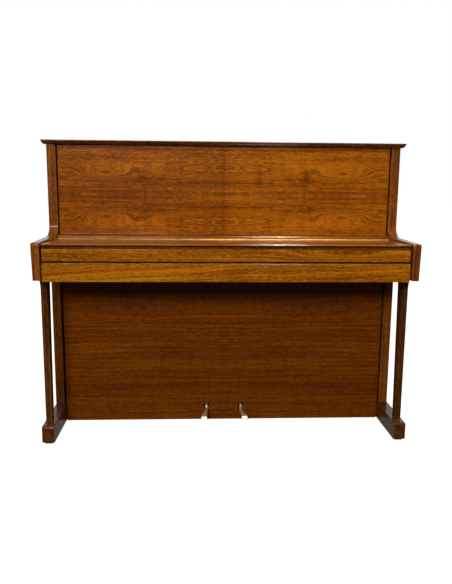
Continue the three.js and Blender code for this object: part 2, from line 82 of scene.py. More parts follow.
# ---------------------------------------------------------------- materials
def srgb(red, green, blue):
    """Linear colour of an 8-bit one."""
    shares = [c / 255 for c in (red, green, blue)]
    return tuple(c / 12.92 if c <= 0.04045 else ((c + 0.055) / 1.055) ** 2.4 for c in shares)


class Paint:
    """A material that is put together node by node."""

    def __init__(self, name):
        self.material = bpy.data.materials.new(name)
        self.material.use_nodes = True
        self.tree = self.material.node_tree
        self.surface = self.tree.nodes["Principled BSDF"]

    def node(self, kind, settings=None, **inputs):
        made = self.tree.nodes.new("ShaderNode" + kind)
        for key, value in (settings or {}).items():
            setattr(made, key, value)
        for key, value in inputs.items():
            self.feed(made.inputs[key.replace("_", " ")], value)
        return made

    def feed(self, socket, value):
        if isinstance(value, bpy.types.NodeSocket):
            self.tree.links.new(value, socket)
        elif socket.type == "RGBA":
            socket.default_value = (*value[:3], 1)
        else:
            socket.default_value = value

    def maths(self, operation, first, second=0.0, third=0.0):
        made = self.node("Math", {"operation": operation})
        for socket, value in zip(made.inputs, (first, second, third)):
            self.feed(socket, value)
        return made.outputs[0]

    def noise(self, vector, scale, detail=2.0, roughness=0.5):
        """Noise with its own number of lumps per metre along each axis."""
        made = self.node("TexNoise", Vector=self.stretched(vector, scale), Scale=1.0, Detail=detail,
                         Roughness=roughness)
        return made.outputs[0]

    def place(self):
        """The point in the piece's own space, which is the row frame, in metres."""
        return self.node("TexCoord").outputs["Object"]

    def stretched(self, vector, scale, shift=(0, 0, 0)):
        return self.node("Mapping", Vector=vector, Scale=scale, Location=shift).outputs[0]

    def ramp(self, factor, stops):
        made = self.node("ValToRGB", Fac=factor)
        elements = made.color_ramp.elements
        while len(elements) < len(stops):
            elements.new(0.5)
        for element, (position, colour) in zip(elements, stops):
            element.position = position
            element.color = (*colour[:3], 1)
        return made.outputs[0]

    def spread(self, value, low, high, to_low=0.0, to_high=1.0):
        made = self.node("MapRange", {"clamp": True}, Value=value, From_Min=low, From_Max=high,
                         To_Min=to_low, To_Max=to_high)
        return made.outputs[0]

    def blend(self, factor, first, second):
        made = self.node("Mix", {"data_type": "RGBA"})
        self.feed(made.inputs[0], factor)
        self.feed(made.inputs[6], first)
        self.feed(made.inputs[7], second)
        return made.outputs[2]

    def edge_wear_and_highlight(self):
        """1 along the middle of a rounded edge, 0 on the faces; it drives edge rubbing and, in wood, a
        painted highlight.
        """
        return self.node("Attribute", {"attribute_name": "wear_and_highlight"}).outputs["Fac"]

    def finish(self, colour, roughness, height=None, bump=0.2, depth=0.0003, **shader):
        self.feed(self.surface.inputs["Base Color"], colour)
        self.feed(self.surface.inputs["Roughness"], roughness)
        for key, value in shader.items():
            self.surface.inputs[key.replace("_", " ")].default_value = value
        if height is not None:
            made = self.node("Bump", Strength=bump, Distance=depth, Height=height)
            self.feed(self.surface.inputs["Normal"], made.outputs[0])
        return self.material


GRAIN_ORDER = {"x": "XYZ", "y": "YXZ", "z": "ZYX"}


def wood(name, shades, along="x", bands=100.0, sweep=0.012, contrast=1.0, gloss=0.3, coat=0.4,
         lean=0.0, match=None, humps=(), stains=(), leaf=0.0, tilt=0.0, seed=0.0):
    """Sliced veneer: growth bands that wander about the grain, streaks, pores and a cross figure.

    match mirrors the figure about a line across the grain and, if given, one along it. humps bend
    the bands round an oval. stains darken one, and need a match. Both hold (across, up, reach,
    reach up, amount), in metres but for the amount, and may end with a power.
    """
    paint = Paint(name)
    point = paint.place()
    if tilt:
        point = paint.node("Mapping", Vector=point, Rotation=(0, math.radians(tilt), 0)).outputs[0]
    parts = paint.node("SeparateXYZ", Vector=point).outputs
    u, v, w = (parts[letter] for letter in GRAIN_ORDER[along])
    side = paint.maths("GREATER_THAN", u, 0.0)
    if match:
        above = paint.maths("SUBTRACT", w, match[1] or 0.0)
        sheet = paint.node("CombineXYZ", X=u, Y=above).outputs[0]
        u = paint.maths("ABSOLUTE", paint.maths("SUBTRACT", u, match[0]))
        if match[1] is not None:
            w = paint.maths("ABSOLUTE", paint.maths("SUBTRACT", w, match[1]))
    plane = paint.node("CombineXYZ", X=u, Y=w).outputs[0]

    def oval(where, across, up, reach, reach_up, amount, power=1.0):
        shift = (-across / reach, -up / reach_up, 0)
        local = paint.stretched(where, (1 / reach, 1 / reach_up, 1), shift)
        square = paint.node("VectorMath", {"operation": "LENGTH"}, Vector=local).outputs["Value"]
        square = paint.maths("POWER", square, 2 * power)
        fading = paint.maths("EXPONENT", paint.maths("MULTIPLY", square, -1.0))
        return paint.maths("MULTIPLY", fading, amount)

    lie = paint.node("CombineXYZ", X=paint.maths("ADD", u, seed), Y=v, Z=w).outputs[0]
    drift = paint.noise(lie, (2.2, 2.6, 7.0), detail=2.5)
    wander = paint.maths("MULTIPLY", drift, sweep * 2)
    ring = paint.maths("ADD", paint.maths("MULTIPLY_ADD", v, 0.7, w), wander)
    ring = paint.maths("ADD", ring, paint.maths("MULTIPLY", u, lean))
    for hump in humps:
        ring = paint.maths("ADD", ring, oval(plane, *hump))
    flow = paint.node("CombineXYZ", X=paint.maths("ADD", u, seed), Y=ring, Z=v).outputs[0]
    growth = paint.noise(flow, (1.8, bands, 2.0), detail=3.0, roughness=0.65)
    broad = paint.noise(flow, (1.0, bands * 0.2, 1.0), detail=1.5)
    streak = paint.noise(flow, (5.0, bands * 4.5, 40.0), detail=2.0, roughness=0.6)
    cross = paint.noise(lie, (11.0, 3.0, 5.0), detail=2.2, roughness=0.55)
    fleck = paint.noise(flow, (55.0, 190.0, 90.0), detail=2.0, roughness=0.6)
    pores = paint.noise(flow, (55.0, 1200.0, 300.0), detail=1.0)
    pores = paint.spread(pores, 0.56, 0.72)
    tone = paint.maths("MULTIPLY_ADD", side, leaf, 0.5 - leaf / 2)
    layers = ((growth, 1.5), (broad, 0.8), (streak, 0.7), (fleck, 1.4), (cross, 0.25 / contrast))
    for layer, share in layers:
        reach = share * contrast
        tone = paint.maths("ADD", tone, paint.maths("MULTIPLY_ADD", layer, reach, -reach / 2))
    for stain in stains:
        patchy = paint.spread(cross, 0.3, 0.6, 0.3, 1.0)
        shade = paint.maths("MULTIPLY", oval(sheet, *stain), patchy)
        tone = paint.maths("SUBTRACT", tone, shade)
    dark, middle, light = shades
    colour = paint.ramp(tone, [(0.12, dark), (0.5, middle), (0.88, light)])
    colour = paint.blend(paint.maths("MULTIPLY", pores, 0.35), colour, tuple(c * 0.4 for c in dark))
    # Rounded edges are painted lighter: partly edge rubbing, partly a painted highlight on the arris.
    edge_wear_and_highlight = paint.edge_wear_and_highlight()
    colour = paint.blend(paint.maths("MULTIPLY", edge_wear_and_highlight, 0.3), colour, tuple(c * 1.25 for c in light))
    roughness = paint.maths("ADD", paint.spread(streak, 0.3, 0.7, gloss - 0.04, gloss + 0.08),
                            paint.maths("MULTIPLY", edge_wear_and_highlight, 0.06))
    height = paint.maths("SUBTRACT", paint.maths("MULTIPLY", streak, 0.25), pores)
    return paint.finish(colour, roughness, height, bump=0.2, depth=0.0001,
                        Coat_Weight=coat, Coat_Roughness=0.12, Specular_IOR_Level=0.04)


def metal(name, colour, roughness=0.2, dull=0.5, metallic=1.0, grain=(300, 300, 300)):
    """Metal with a fine brushed grain and dull patches where hands or shoes have been."""
    paint = Paint(name)
    point = paint.place()
    brushed = paint.noise(point, grain, detail=2.0)
    patches = paint.noise(point, (18, 18, 18), detail=3.0, roughness=0.6)
    dulled = paint.spread(patches, 0.42, 0.68)
    tint = paint.blend(dulled, colour, tuple(c * (1 - 0.45 * dull) for c in colour))
    rough = paint.maths("ADD", paint.spread(brushed, 0.3, 0.7, roughness * 0.8, roughness * 1.3),
                        paint.maths("MULTIPLY", dulled, 0.16 * dull))
    return paint.finish(tint, rough, brushed, bump=0.12, depth=0.0001, Metallic=metallic)


def felt(name, colour, pale, sheen=0.4):
    """Pressed wool: a fuzzy surface with fibres of two shades."""
    paint = Paint(name)
    point = paint.place()
    fibres = paint.noise(point, (900, 900, 900), detail=3.0, roughness=0.7)
    lumps = paint.noise(point, (60, 60, 60), detail=2.0)
    tone = paint.maths("MULTIPLY_ADD", lumps, 0.5, paint.maths("MULTIPLY", fibres, 0.5))
    tint = paint.ramp(tone, [(0.35, colour), (0.65, pale)])
    rough = paint.spread(fibres, 0.3, 0.7, 0.85, 1.0)
    return paint.finish(tint, rough, fibres, bump=0.5, depth=0.0006, Sheen_Weight=sheen)


def plastic(name, colour, aged, roughness=0.2):
    """Moulded key covering: nearly even, with faint clouds, hairline scratches and worn edges."""
    paint = Paint(name)
    point = paint.place()
    clouds = paint.noise(point, (14, 9, 14), detail=3.0)
    hair = paint.noise(point, (900, 60, 900), detail=2.0)
    tint = paint.ramp(clouds, [(0.35, colour), (0.7, aged)])
    tint = paint.blend(paint.maths("MULTIPLY", paint.edge_wear_and_highlight(), 0.25), tint, aged)
    rough = paint.spread(hair, 0.35, 0.75, roughness * 0.8, roughness * 1.4)
    return paint.finish(tint, rough, hair, bump=0.05, depth=0.0001, Coat_Weight=0.5,
                        Coat_Roughness=0.06)


def cast_iron(name, colour):
    """Sprayed bronze over cast iron: a slight orange peel, with metal flake painted as bright glints."""
    paint = Paint(name)
    point = paint.place()
    peel = paint.noise(point, (220, 220, 220), detail=3.0, roughness=0.6)
    flake = paint.noise(point, (2600, 2600, 2600), detail=0.0)
    clouds = paint.noise(point, (5, 5, 5), detail=2.0)
    tint = paint.ramp(clouds, [(0.3, tuple(c * 0.75 for c in colour)), (0.7, colour)])
    glint, rubbed = (tuple(min(1, c * gain) for c in colour) for gain in (1.8, 1.4))
    tint = paint.blend(paint.spread(flake, 0.62, 0.75, 0, 0.5), tint, glint)
    tint = paint.blend(paint.maths("MULTIPLY", paint.edge_wear_and_highlight(), 0.3), tint, rubbed)
    rough = paint.spread(peel, 0.3, 0.7, 0.38, 0.55)
    return paint.finish(tint, rough, peel, bump=0.35, depth=0.0005, Metallic=0.55)


def rubber(name, colour):
    paint = Paint(name)
    point = paint.place()
    grit = paint.noise(point, (500, 500, 500), detail=3.0)
    tint = paint.ramp(grit, [(0.35, colour), (0.7, tuple(c * 1.7 + 0.004 for c in colour))])
    rough = paint.spread(grit, 0.3, 0.7, 0.6, 0.85)
    return paint.finish(tint, rough, grit, bump=0.4, depth=0.0004)


def tones(dark, middle, light):
    return srgb(*dark), srgb(*middle), srgb(*light)


CASE = tones((76, 35, 7), (118, 61, 11), (152, 88, 24))
PANEL = tones((98, 45, 2), (134, 69, 3), (174, 98, 8))
FALL = tones((112, 56, 3), (154, 87, 6), (190, 118, 16))
LID = tones((52, 24, 8), (88, 46, 14), (120, 70, 28))
# A darker copy of the fallboard walnut: painted shade for the fallboard top and hinge rail, also used on
# the cheek blocks and name board.
SHADED_FALL = tones((88, 42, 3), (126, 66, 5), (158, 92, 13))
LOWER = tones((82, 34, 2), (120, 58, 4), (150, 80, 8))
LEG = tones((58, 28, 8), (88, 48, 13), (116, 68, 22))
PINE = tones((186, 138, 86), (218, 178, 124), (234, 202, 154))
BEECH = tones((150, 104, 62), (190, 148, 102), (212, 174, 130))
SPRUCE = tones((178, 126, 62), (214, 168, 98), (232, 194, 128))

PANEL_SEAM = 0.972               # height of the veneer joint along the upper panel, in metres
EYES = [(0.485, 0.085, 0.1, 0.022, 0.05), (0.0, 0.095, 0.29, 0.032, 0.07, 2.5)]
KNOTS = [
    (0.335, 0.075, 0.016, 0.03, 0.5), (0.35, -0.055, 0.012, 0.03, 0.35),
    (-0.345, 0.07, 0.014, 0.022, 0.35), (0.14, 0.085, 0.012, 0.05, 0.3),
    (0.25, -0.085, 0.022, 0.02, 0.3), (0.27, 0.09, 0.016, 0.03, 0.25),
    (0.03, 0.008, 0.14, 0.004, 0.45), (-0.34, -0.09, 0.02, 0.02, 0.2),
]


def bare(name, shades, along, bands, contrast, gloss):
    """Wood without lacquer."""
    return wood(name, shades, along, bands, contrast=contrast, gloss=gloss, coat=0.0)


# The look of a piece, with the name of the record's material slot for it.
LOOKS = {
    "case": ("case_wood", wood("walnut_case_upright", CASE, "z", contrast=0.9, seed=2.0)),
    "lid": ("case_wood", wood("walnut_lid", LID, "x", seed=4.0)),
    "arm": ("case_wood", wood("walnut_arm", CASE, "z", bands=120, seed=8.0)),
    "panel": ("panel_wood", wood("walnut_upper_panel", PANEL, "x", match=(0.0, PANEL_SEAM),
                                 humps=EYES, stains=KNOTS, leaf=0.14, contrast=0.92, seed=1.0)),
    # The fallboard top and hinge rail take the painted-shade copy of the fallboard walnut.
    "fall": ("fall_wood", wood("walnut_fallboard_shaded", SHADED_FALL, "x", seed=6.0)),
    "drop": ("fall_wood", wood("walnut_drop_front", FALL, "x", lean=0.05, sweep=0.02,
                               contrast=1.15, seed=7.5, humps=[(0.42, 0.765, 0.2, 0.02, 0.04)])),
    "slip": ("fall_wood", wood("walnut_key_slip", FALL, "x", lean=-0.04, sweep=0.02,
                               contrast=1.05, coat=0.25, seed=12.0)),
    "lower": ("lower_wood", wood("walnut_lower_door", LOWER, "x", match=(0.0, None),
                                 contrast=0.68, coat=0.25, seed=5.0)),
    "leg": ("leg_wood", wood("walnut_leg", LEG, "z", bands=120, seed=3.0)),
    "toe": ("leg_wood", wood("walnut_toe", LEG, "y", bands=120, seed=9.0)),
    "pine": ("inner_wood", bare("pine_plain", PINE, "z", 60, 0.5, 0.6)),
    "pine_long": ("inner_wood", bare("pine_along", PINE, "x", 60, 0.5, 0.6)),
    "beech": ("inner_wood", bare("beech_along", BEECH, "x", 120, 0.4, 0.5)),
    "beech_up": ("inner_wood", bare("beech_upright", BEECH, "z", 120, 0.4, 0.5)),
    "key_stick": ("white_key", bare("basswood_key", PINE, "y", 120, 0.4, 0.6)),
    "spruce": ("soundboard_wood", wood("spruce_board", SPRUCE, "x", bands=150, contrast=0.4,
                                       gloss=0.4, tilt=45)),
    "white_key": ("white_key", plastic("key_white", srgb(240, 236, 222), srgb(228, 218, 192))),
    "black_key": ("black_key", plastic("key_black", srgb(20, 18, 17), srgb(38, 35, 33), 0.3)),
    "red_felt": ("felt", felt("felt_red", srgb(112, 14, 20), srgb(150, 34, 38))),
    # Felt whose near-black brown also stands in for the shadow in the gap under the fallboard.
    "dark_felt": ("felt", felt("felt_brown_gap_shade", srgb(48, 16, 6), srgb(74, 26, 10), 0.0)),
    "white_felt": ("felt", felt("felt_white", srgb(206, 198, 180), srgb(236, 230, 216))),
    "iron": ("plate_iron", cast_iron("iron_bronze", srgb(178, 138, 66))),
    "steel": ("string_steel", metal("steel_wire", srgb(190, 190, 186), 0.25, dull=0.3)),
    "copper": ("string_steel", metal("copper_winding", srgb(190, 118, 80), 0.3, dull=0.6)),
    "brass": ("hinge_brass", metal("brass_hinge", srgb(150, 104, 48), 0.36, dull=0.9)),
    "pedal": ("pedal_metal", metal("pedal_brass", srgb(240, 216, 172), 0.28, dull=0.3, metallic=0.8,
                                   grain=(200, 40, 200))),
    "pad": ("foot_pad", rubber("pad_black", srgb(30, 26, 24))),
}


# ---------------------------------------------------------------- mesh helpers
def fresh():
    """An empty body whose points can be marked for edge rubbing and a painted highlight."""
    bm = bmesh.new()
    bm.verts.layers.float.new("wear_and_highlight")
    return bm


def loft(rings):
    """Skins closed rings of equal length, and closes both ends."""
    bm = fresh()
    loops = [[bm.verts.new(point) for point in ring] for ring in rings]
    for near, far in zip(loops, loops[1:]):
        for i, _ in enumerate(near):
            j = (i + 1) % len(near)
            bm.faces.new((near[i], near[j], far[j], far[i]))
    bm.faces.new(loops[0])
    bm.faces.new(loops[-1])
    bmesh.ops.recalc_face_normals(bm, faces=bm.faces)
    return bm


PLACES = {
    "x": lambda a, b, t: (t, a, b),
    "y": lambda a, b, t: (a, t, b),
    "z": lambda a, b, t: (a, b, t),
}


def prism(outline, axis, start, end):
    """An outline in the two other axes, pushed along one axis."""
    place = PLACES[axis]
    return loft([[place(a, b, t) for a, b in outline] for t in (start, end)])


def slab(x, y, z):
    """A board given by its two ends on each axis."""
    return prism([(y[0], z[0]), (y[1], z[0]), (y[1], z[1]), (y[0], z[1])], "x", *x)


def block(node):
    """A board that fills a CAD node's box."""
    low, high = size(node)
    return slab((low.x, high.x), (low.y, high.y), (low.z, high.z))


def ease(bm, width, segments=3, angle=30, pick=None):
    """Rounds the edges sharper than angle, and marks the middle of each rounding for edge rubbing and a
    painted highlight.
    """
    limit = math.radians(angle)
    sharp = [e for e in bm.edges if len(e.link_faces) == 2 and e.calc_face_angle() > limit]
    if pick:
        sharp = [e for e in sharp if pick(*(v.co for v in e.verts))]
    made = bmesh.ops.bevel(bm, geom=sharp, offset=width, segments=segments, profile=0.5,
                           affect="EDGES", clamp_overlap=True)
    rounded = set(made["faces"])
    wear_and_highlight = bm.verts.layers.float["wear_and_highlight"]
    for vert in bm.verts:
        if all(face in rounded for face in vert.link_faces):
            vert[wear_and_highlight] = 1.0
    return bm


def arc(centre, radii, start, end, steps):
    """Points on an elliptical arc; angles are in degrees."""
    points = []
    for i in range(steps + 1):
        angle = math.radians(start + (end - start) * i / steps)
        x = centre[0] + radii[0] * math.cos(angle)
        points.append((x, centre[1] + radii[1] * math.sin(angle)))
    return points


def mirrored(bm):
    bmesh.ops.scale(bm, vec=(-1, 1, 1), verts=bm.verts)
    bmesh.ops.reverse_faces(bm, faces=bm.faces)
    return bm


def gather(parts):
    """Several bodies as one mesh, each given alone or with the number of its material."""
    whole = fresh()
    to_wear_and_highlight = whole.verts.layers.float["wear_and_highlight"]
    for part in parts:
        body, number = part if isinstance(part, tuple) else (part, 0)
        from_wear_and_highlight = body.verts.layers.float["wear_and_highlight"]
        copies = {}
        for vert in body.verts:
            copies[vert] = whole.verts.new(vert.co)
            copies[vert][to_wear_and_highlight] = vert[from_wear_and_highlight]
        for face in body.faces:
            whole.faces.new([copies[vert] for vert in face.verts]).material_index = number
        body.free()
    return whole


def rod(start, end, radius, sides=10, end_radius=None, round_end=0.0):
    """A round bar between two points, with its far end rounded off if asked."""
    start, end = Vector(start), Vector(end)
    turn = (end - start).to_track_quat("Z", "Y")
    far = end_radius or radius
    stations = [(start, radius), (end, far)]
    if round_end:
        lift = (end - start).normalized() * round_end
        stations = [(start, radius), (end - lift, far), (end - lift * 0.3, far * 0.8),
                    (end, far * 0.45)]
    rings = []
    for centre, reach in stations:
        spokes = [2 * math.pi * k / sides for k in range(sides)]
        ring = [Vector((reach * math.cos(a), reach * math.sin(a), 0)) for a in spokes]
        rings.append([centre + turn @ point for point in ring])
    return loft(rings)


def piece(name, bm, looks, body="case", stands_for=(), smooth=38):
    """Makes the visible piece, in metres, and hands it to its CAD body."""
    looks = [looks] if isinstance(looks, str) else looks
    bmesh.ops.scale(bm, vec=(MM, MM, MM), verts=bm.verts)
    mesh = bpy.data.meshes.new(name)
    bm.to_mesh(mesh)
    bm.free()
    for look in looks:
        mesh.materials.append(LOOKS[look][1])
    mesh.shade_smooth()
    mesh.set_sharp_from_angle(angle=math.radians(smooth))
    made = bpy.data.objects.new(name, mesh)
    bpy.context.scene.collection.objects.link(made)
    evened = made.modifiers.new("even_normals", "WEIGHTED_NORMAL")
    evened.keep_sharp = True
    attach(made, body)
    if stands_for:
        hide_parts(*stands_for)
    return made


def pair(name, build, looks, body="case", stands_for=()):
    """A right-hand piece and its mirror image. {} in a name stands for the side."""
    for side in ("right", "left"):
        bm = build()
        if side == "left":
            mirrored(bm)
        nodes = [node.format(side) for node in stands_for]
        piece(f"{name}_{side}", bm, looks, body.format(side), nodes)


# ---------------------------------------------------------------- case
CASE_FRONT = 12                  # front edge of the sides, above and below the arms
COVE = (58, 43)                  # cove that joins the side's front edge to the arm


def side_panel():
    """The front edge runs down from the lid and sweeps forward to the arm."""
    low, high = size("side_right")
    foot = size("arm_right")[0].z
    cove = arc((low.y, size("arm_right")[1].z + COVE[1]), COVE, 0, -90, 18)
    outline = [(CASE_FRONT, low.z), (high.y, low.z), (high.y, high.z), (CASE_FRONT, high.z)]
    outline += cove + [(low.y, foot), (CASE_FRONT, foot)]
    return ease(prism(outline, "x", low.x, high.x), 2.2)


def arm():
    """The outer face leans in towards its foot."""
    low, high = size("arm_right")
    nose, lean, front_drop = 9, 3.4, 2.4
    top = high.z - front_drop
    outline = [(high.y, low.z), (high.y, high.z)]
    outline += arc((low.y + nose, top - nose), (nose, nose), 90, 180, 7) + [(low.y, low.z)]
    bm = prism(outline, "x", low.x, high.x)
    for vert in bm.verts:
        if vert.co.x > (low.x + high.x) / 2:
            vert.co.x -= lean * (high.z - vert.co.z) / (high.z - low.z)
    return ease(bm, 2.6)


def toe():
    low, high = size("toe_right")
    radius = 9
    outline = [(high.y, low.z), (high.y, high.z)]
    outline += arc((low.y + radius, high.z - radius), (radius, radius), 90, 180, 6)
    outline += arc((low.y + radius, low.z + radius), (radius, radius), 180, 270, 4)
    return ease(prism(outline, "x", low.x, high.x), 3.0)


def toe_pad():
    low, high = size("toe_pad_right")
    outline = rounded((low.x, high.x), (low.y, high.y), [6] * 4)
    return ease(prism(outline, "z", low.z, high.z), 1.0, 2)


def leg():
    """A slim leg that gets deeper to its top, which spreads out under the arm."""
    low, high = size("leg_right")
    outer, inner, rise, lip, taper = 9, 4, 55, 2.5, 22
    straight_in, straight_out = low.x + inner, high.x - outer
    steps, sweep = 14, 80

    def flare(edge, reach):
        points = []
        for i in range(steps + 1):
            turn = math.radians(sweep * i / steps)
            bend = (1 - math.cos(turn)) / (1 - math.cos(math.radians(sweep)))
            z = high.z - lip - rise + rise * math.sin(turn) / 0.985
            points.append((edge + reach * bend, z))
        return points

    outline = [(straight_in, low.z), (straight_out, low.z)] + flare(straight_out, outer)
    outline += [(high.x, high.z), (low.x, high.z)] + flare(straight_in, -inner)[::-1]
    bm = prism(outline, "y", low.y, high.y)
    for vert in bm.verts:
        if vert.co.y > (low.y + high.y) / 2:
            vert.co.y -= taper * (high.z - vert.co.z) / (high.z - low.z)
    return ease(bm, 1.8, angle=50)


def rounded(x, y, radii, steps=4):
    """A rectangle with its own radius at each corner, from the front right anticlockwise."""
    corners = [(x[1], y[0], -90), (x[1], y[1], 0), (x[0], y[1], 90), (x[0], y[0], 180)]
    points = []
    for (cx, cy, start), radius in zip(corners, radii):
        inward = (cx - math.copysign(radius, cx - sum(x) / 2),
                  cy - math.copysign(radius, cy - sum(y) / 2))
        points += arc(inward, (radius, radius), start, start + 90, steps)
    return points


# The lid's edge from the top down: how far inside the widest line, and its share of the height.
LID_EDGE = [(2.4, 1.0), (0.9, 0.975), (0.1, 0.91), (0.0, 0.82), (0.7, 0.7), (2.0, 0.56),
            (3.6, 0.41), (5.4, 0.26), (7.2, 0.12), (8.6, 0.02), (9.4, 0.0)]


def lid_board(node, shaped_front):
    """A boat-shaped edge at the ends, and in front on the flap."""
    low, high = size(node)
    rings = []
    for inset, height in LID_EDGE:
        x = (low.x + inset, high.x - inset)
        rise = 0.6 if inset == LID_EDGE[0][0] or inset == LID_EDGE[-1][0] else 0
        front, rear = (inset, rise) if shaped_front else (rise, rise)
        y = (low.y + front, high.y - rear)
        corner = 2 if shaped_front else 0.8
        radii = [corner, 0.8, 0.8, corner]
        z = low.z + (high.z - low.z) * height
        rings.append([(a, b, z) for a, b in rounded(x, y, radii)])
    bm = loft(rings)
    # A band near the top of the edge is marked too: a painted highlight line along the lid's edge.
    wear_and_highlight = bm.verts.layers.float["wear_and_highlight"]
    for vert in bm.verts:
        if 0.85 < (vert.co.z - low.z) / (high.z - low.z) < 0.95:
            vert[wear_and_highlight] = 0.8
    return bm


def hinge_barrel(y, z, radius, half, knuckle=40):
    """A long hinge barrel along X with a groove at each knuckle joint."""
    rings = [(-half, radius)]
    count = int(2 * half / knuckle)
    for i in range(1, count):
        x = -half + 2 * half * i / count
        rings += [(x - 0.7, radius), (x - 0.35, radius * 0.8), (x + 0.35, radius * 0.8), (x + 0.7, radius)]
    rings.append((half, radius))
    spokes = [math.radians(30 * k) for k in range(12)]
    return loft([[(x, y + r * math.cos(a), z + r * math.sin(a)) for a in spokes] for x, r in rings])


def screw(centre, axis, radius=3.2, rise=0.9):
    """A round-headed slotted screw on the tip of an axis."""
    up = Vector(axis).normalized()
    turn = up.to_track_quat("Z", "Y") @ Matrix.Rotation(dice.uniform(0, 3.1), 3, "Z").to_quaternion()
    sides, slot = 16, 0.16
    rings = []
    for reach, height in ((1.0, 0.0), (0.96, 0.45), (0.75, 0.85), (0.4, 1.0)):
        ring = []
        for k in range(sides):
            angle = 2 * math.pi * (k + 0.5) / sides
            across = math.sin(angle) * reach
            drop = 0.45 if abs(across) < slot and height > 0.4 else 0
            point = (radius * reach * math.cos(angle), radius * across, rise * (height - drop))
            ring.append(Vector(centre) + turn @ Vector(point))
        rings.append(ring)
    return loft(rings)


def build_lid():
    radius = 2
    hinge_y, hinge_z = 151.5, size("lid_hinge")[1].z - radius
    piece("lid_front_flap", lid_board("lid_flap", True), "lid", "lid_flap", ["lid_flap"])
    piece("lid_back_board", lid_board("lid_rear", False), "lid", "case", ["lid_rear"])
    half = size("lid_hinge")[1].x
    barrel = hinge_barrel(hinge_y, hinge_z, radius, half)
    piece("lid_hinge_barrel", barrel, "brass", "case", ["lid_hinge"])
    top = size("lid_rear")[1].z
    for name, body, near, far in (("flap", "lid_flap", -15, -1.2), ("rear", "case", 1.2, 15)):
        across = sorted((hinge_y + near, hinge_y + far))
        leaf = ease(slab((-half, half), across, (top + 0.02, top + 0.9)), 0.25, 2)
        screws, count, margin = [], 17, 30
        for i in range(count):
            x = -half + margin + (2 * half - 2 * margin) * i / (count - 1)
            screws.append(screw((x, hinge_y + (near + far) / 2, top + 0.9), (0, 0, 1), 2.8, 0.7))
        piece(f"lid_hinge_leaf_{name}", gather([leaf] + screws), "brass", body)


def build_case():
    pair("side_panel", side_panel, "case", stands_for=["side_{}"])
    pair("keyboard_arm", arm, "arm", stands_for=["arm_{}"])
    pair("toe_block", toe, "toe", stands_for=["toe_{}"])
    pair("toe_foot", toe_pad, "pad", stands_for=["toe_pad_{}"])
    pair("front_leg", leg, "leg", stands_for=["leg_{}"])
    build_lid()
    low, high = size("top_door")
    piece("upper_panel", ease(block("top_door"), 1.6), "panel", stands_for=["top_door"])
    battens = []
    for x in (-600, 0, 600):
        batten = slab((x - 35, x + 35), (high.y, high.y + 12), (low.z + 30, high.z - 30))
        battens.append(ease(batten, 2, 2))
    piece("upper_panel_battens", gather(battens), "beech_up")


# ---------------------------------------------------------------- lower case and pedals
PEDAL_X = 74
SLOT_HALF = 12
LEVER_X = 330                    # where a trap lever rocks


def build_lower_case():
    low, high = size("bottom_door")
    spring, crown = 70, 10
    rise = math.degrees(math.asin((low.z - spring) / crown))
    outline = [(low.x, low.z)]
    for x in (-PEDAL_X, PEDAL_X):
        outline += arc((x, spring), (SLOT_HALF, crown), 180 - rise, rise, 12)
    outline += [(high.x, low.z), (high.x, high.z), (low.x, high.z)]
    door = ease(prism(outline, "y", low.y, high.y), 1.4, angle=40)
    piece("lower_door", door, "lower", "bottom_door", ["bottom_door"])
    battens = [slab((x - 30, x + 30), (high.y, high.y + 14), (low.z + 50, high.z - 40))
               for x in (-520, -180, 180, 520)]
    battens.append(slab((-640, 640), (high.y, high.y + 10), (high.z - 36, high.z - 8)))
    battens = [ease(batten, 2, 2) for batten in battens]
    piece("lower_door_battens", gather(battens), "beech_up", "bottom_door")
    low, high = size("plinth")
    floor, soft = 42, 4
    outline = [(low.x, low.z), (high.x, low.z), (high.x, high.z)]
    for x in (PEDAL_X, -PEDAL_X):
        right, left = x + SLOT_HALF, x - SLOT_HALF
        outline += [(right, high.z)] + arc((right - soft, floor + soft), (soft, soft), 0, -90, 4)
        outline += arc((left + soft, floor + soft), (soft, soft), -90, -180, 4) + [(left, high.z)]
    outline.append((low.x, high.z))
    plinth = ease(prism(outline, "y", low.y, high.y), 1.4, angle=40)
    piece("plinth_board", plinth, "lower", stands_for=["plinth"])


# A pedal from its hinge to its lip: y, middle, half width, underside and top; x grows outwards.
PEDAL_STATIONS = [
    (190, 74, 6.0, 62, 73.4), (150, 74, 6.0, 62, 74), (100, 74, 5.6, 62, 74),
    (50, 74, 5.4, 62, 75.5), (24, 74, 5.4, 62.5, 77.6), (14, 74, 5.6, 62.5, 77.6),
    (9, 74, 5.8, 60.5, 75.2), (5.5, 74.1, 6.0, 57.5, 70.5), (2.5, 74.2, 6.3, 54.5, 65),
    (-1, 74.4, 6.7, 52, 60.2), (-6, 74.9, 7.0, 50.6, 57.8), (-14, 76, 7.4, 50, 56.6),
    (-24, 77.8, 8.2, 49, 55.6), (-35, 80, 9.3, 47.6, 54.4), (-46, 82.2, 11, 46, 52.9),
    (-56, 84.2, 12.9, 44.4, 51.6), (-63, 85.2, 13.8, 42.6, 50.3), (-68.5, 85.8, 13.9, 40.4, 48.2),
    (-72.3, 86, 13.2, 38.8, 45.4), (-74.4, 86, 11.6, 39.2, 42.8),
]


def pedal():
    """A cast lever that leaves its slot, steps down and ends in a broad rolled lip."""
    sides, rings = 20, []
    for y, middle, half, low, high in PEDAL_STATIONS:
        ring = []
        for k in range(sides):
            angle = 2 * math.pi * k / sides
            a, b = math.cos(angle), math.sin(angle)
            flat = 0.62 if y > -30 else 0.5
            x = middle + half * math.copysign(abs(a) ** flat, a)
            z = (low + high) / 2 + (high - low) / 2 * math.copysign(abs(b) ** (flat + 0.12), b)
            ring.append((x, y, z))
        rings.append(ring)
    return loft(rings)


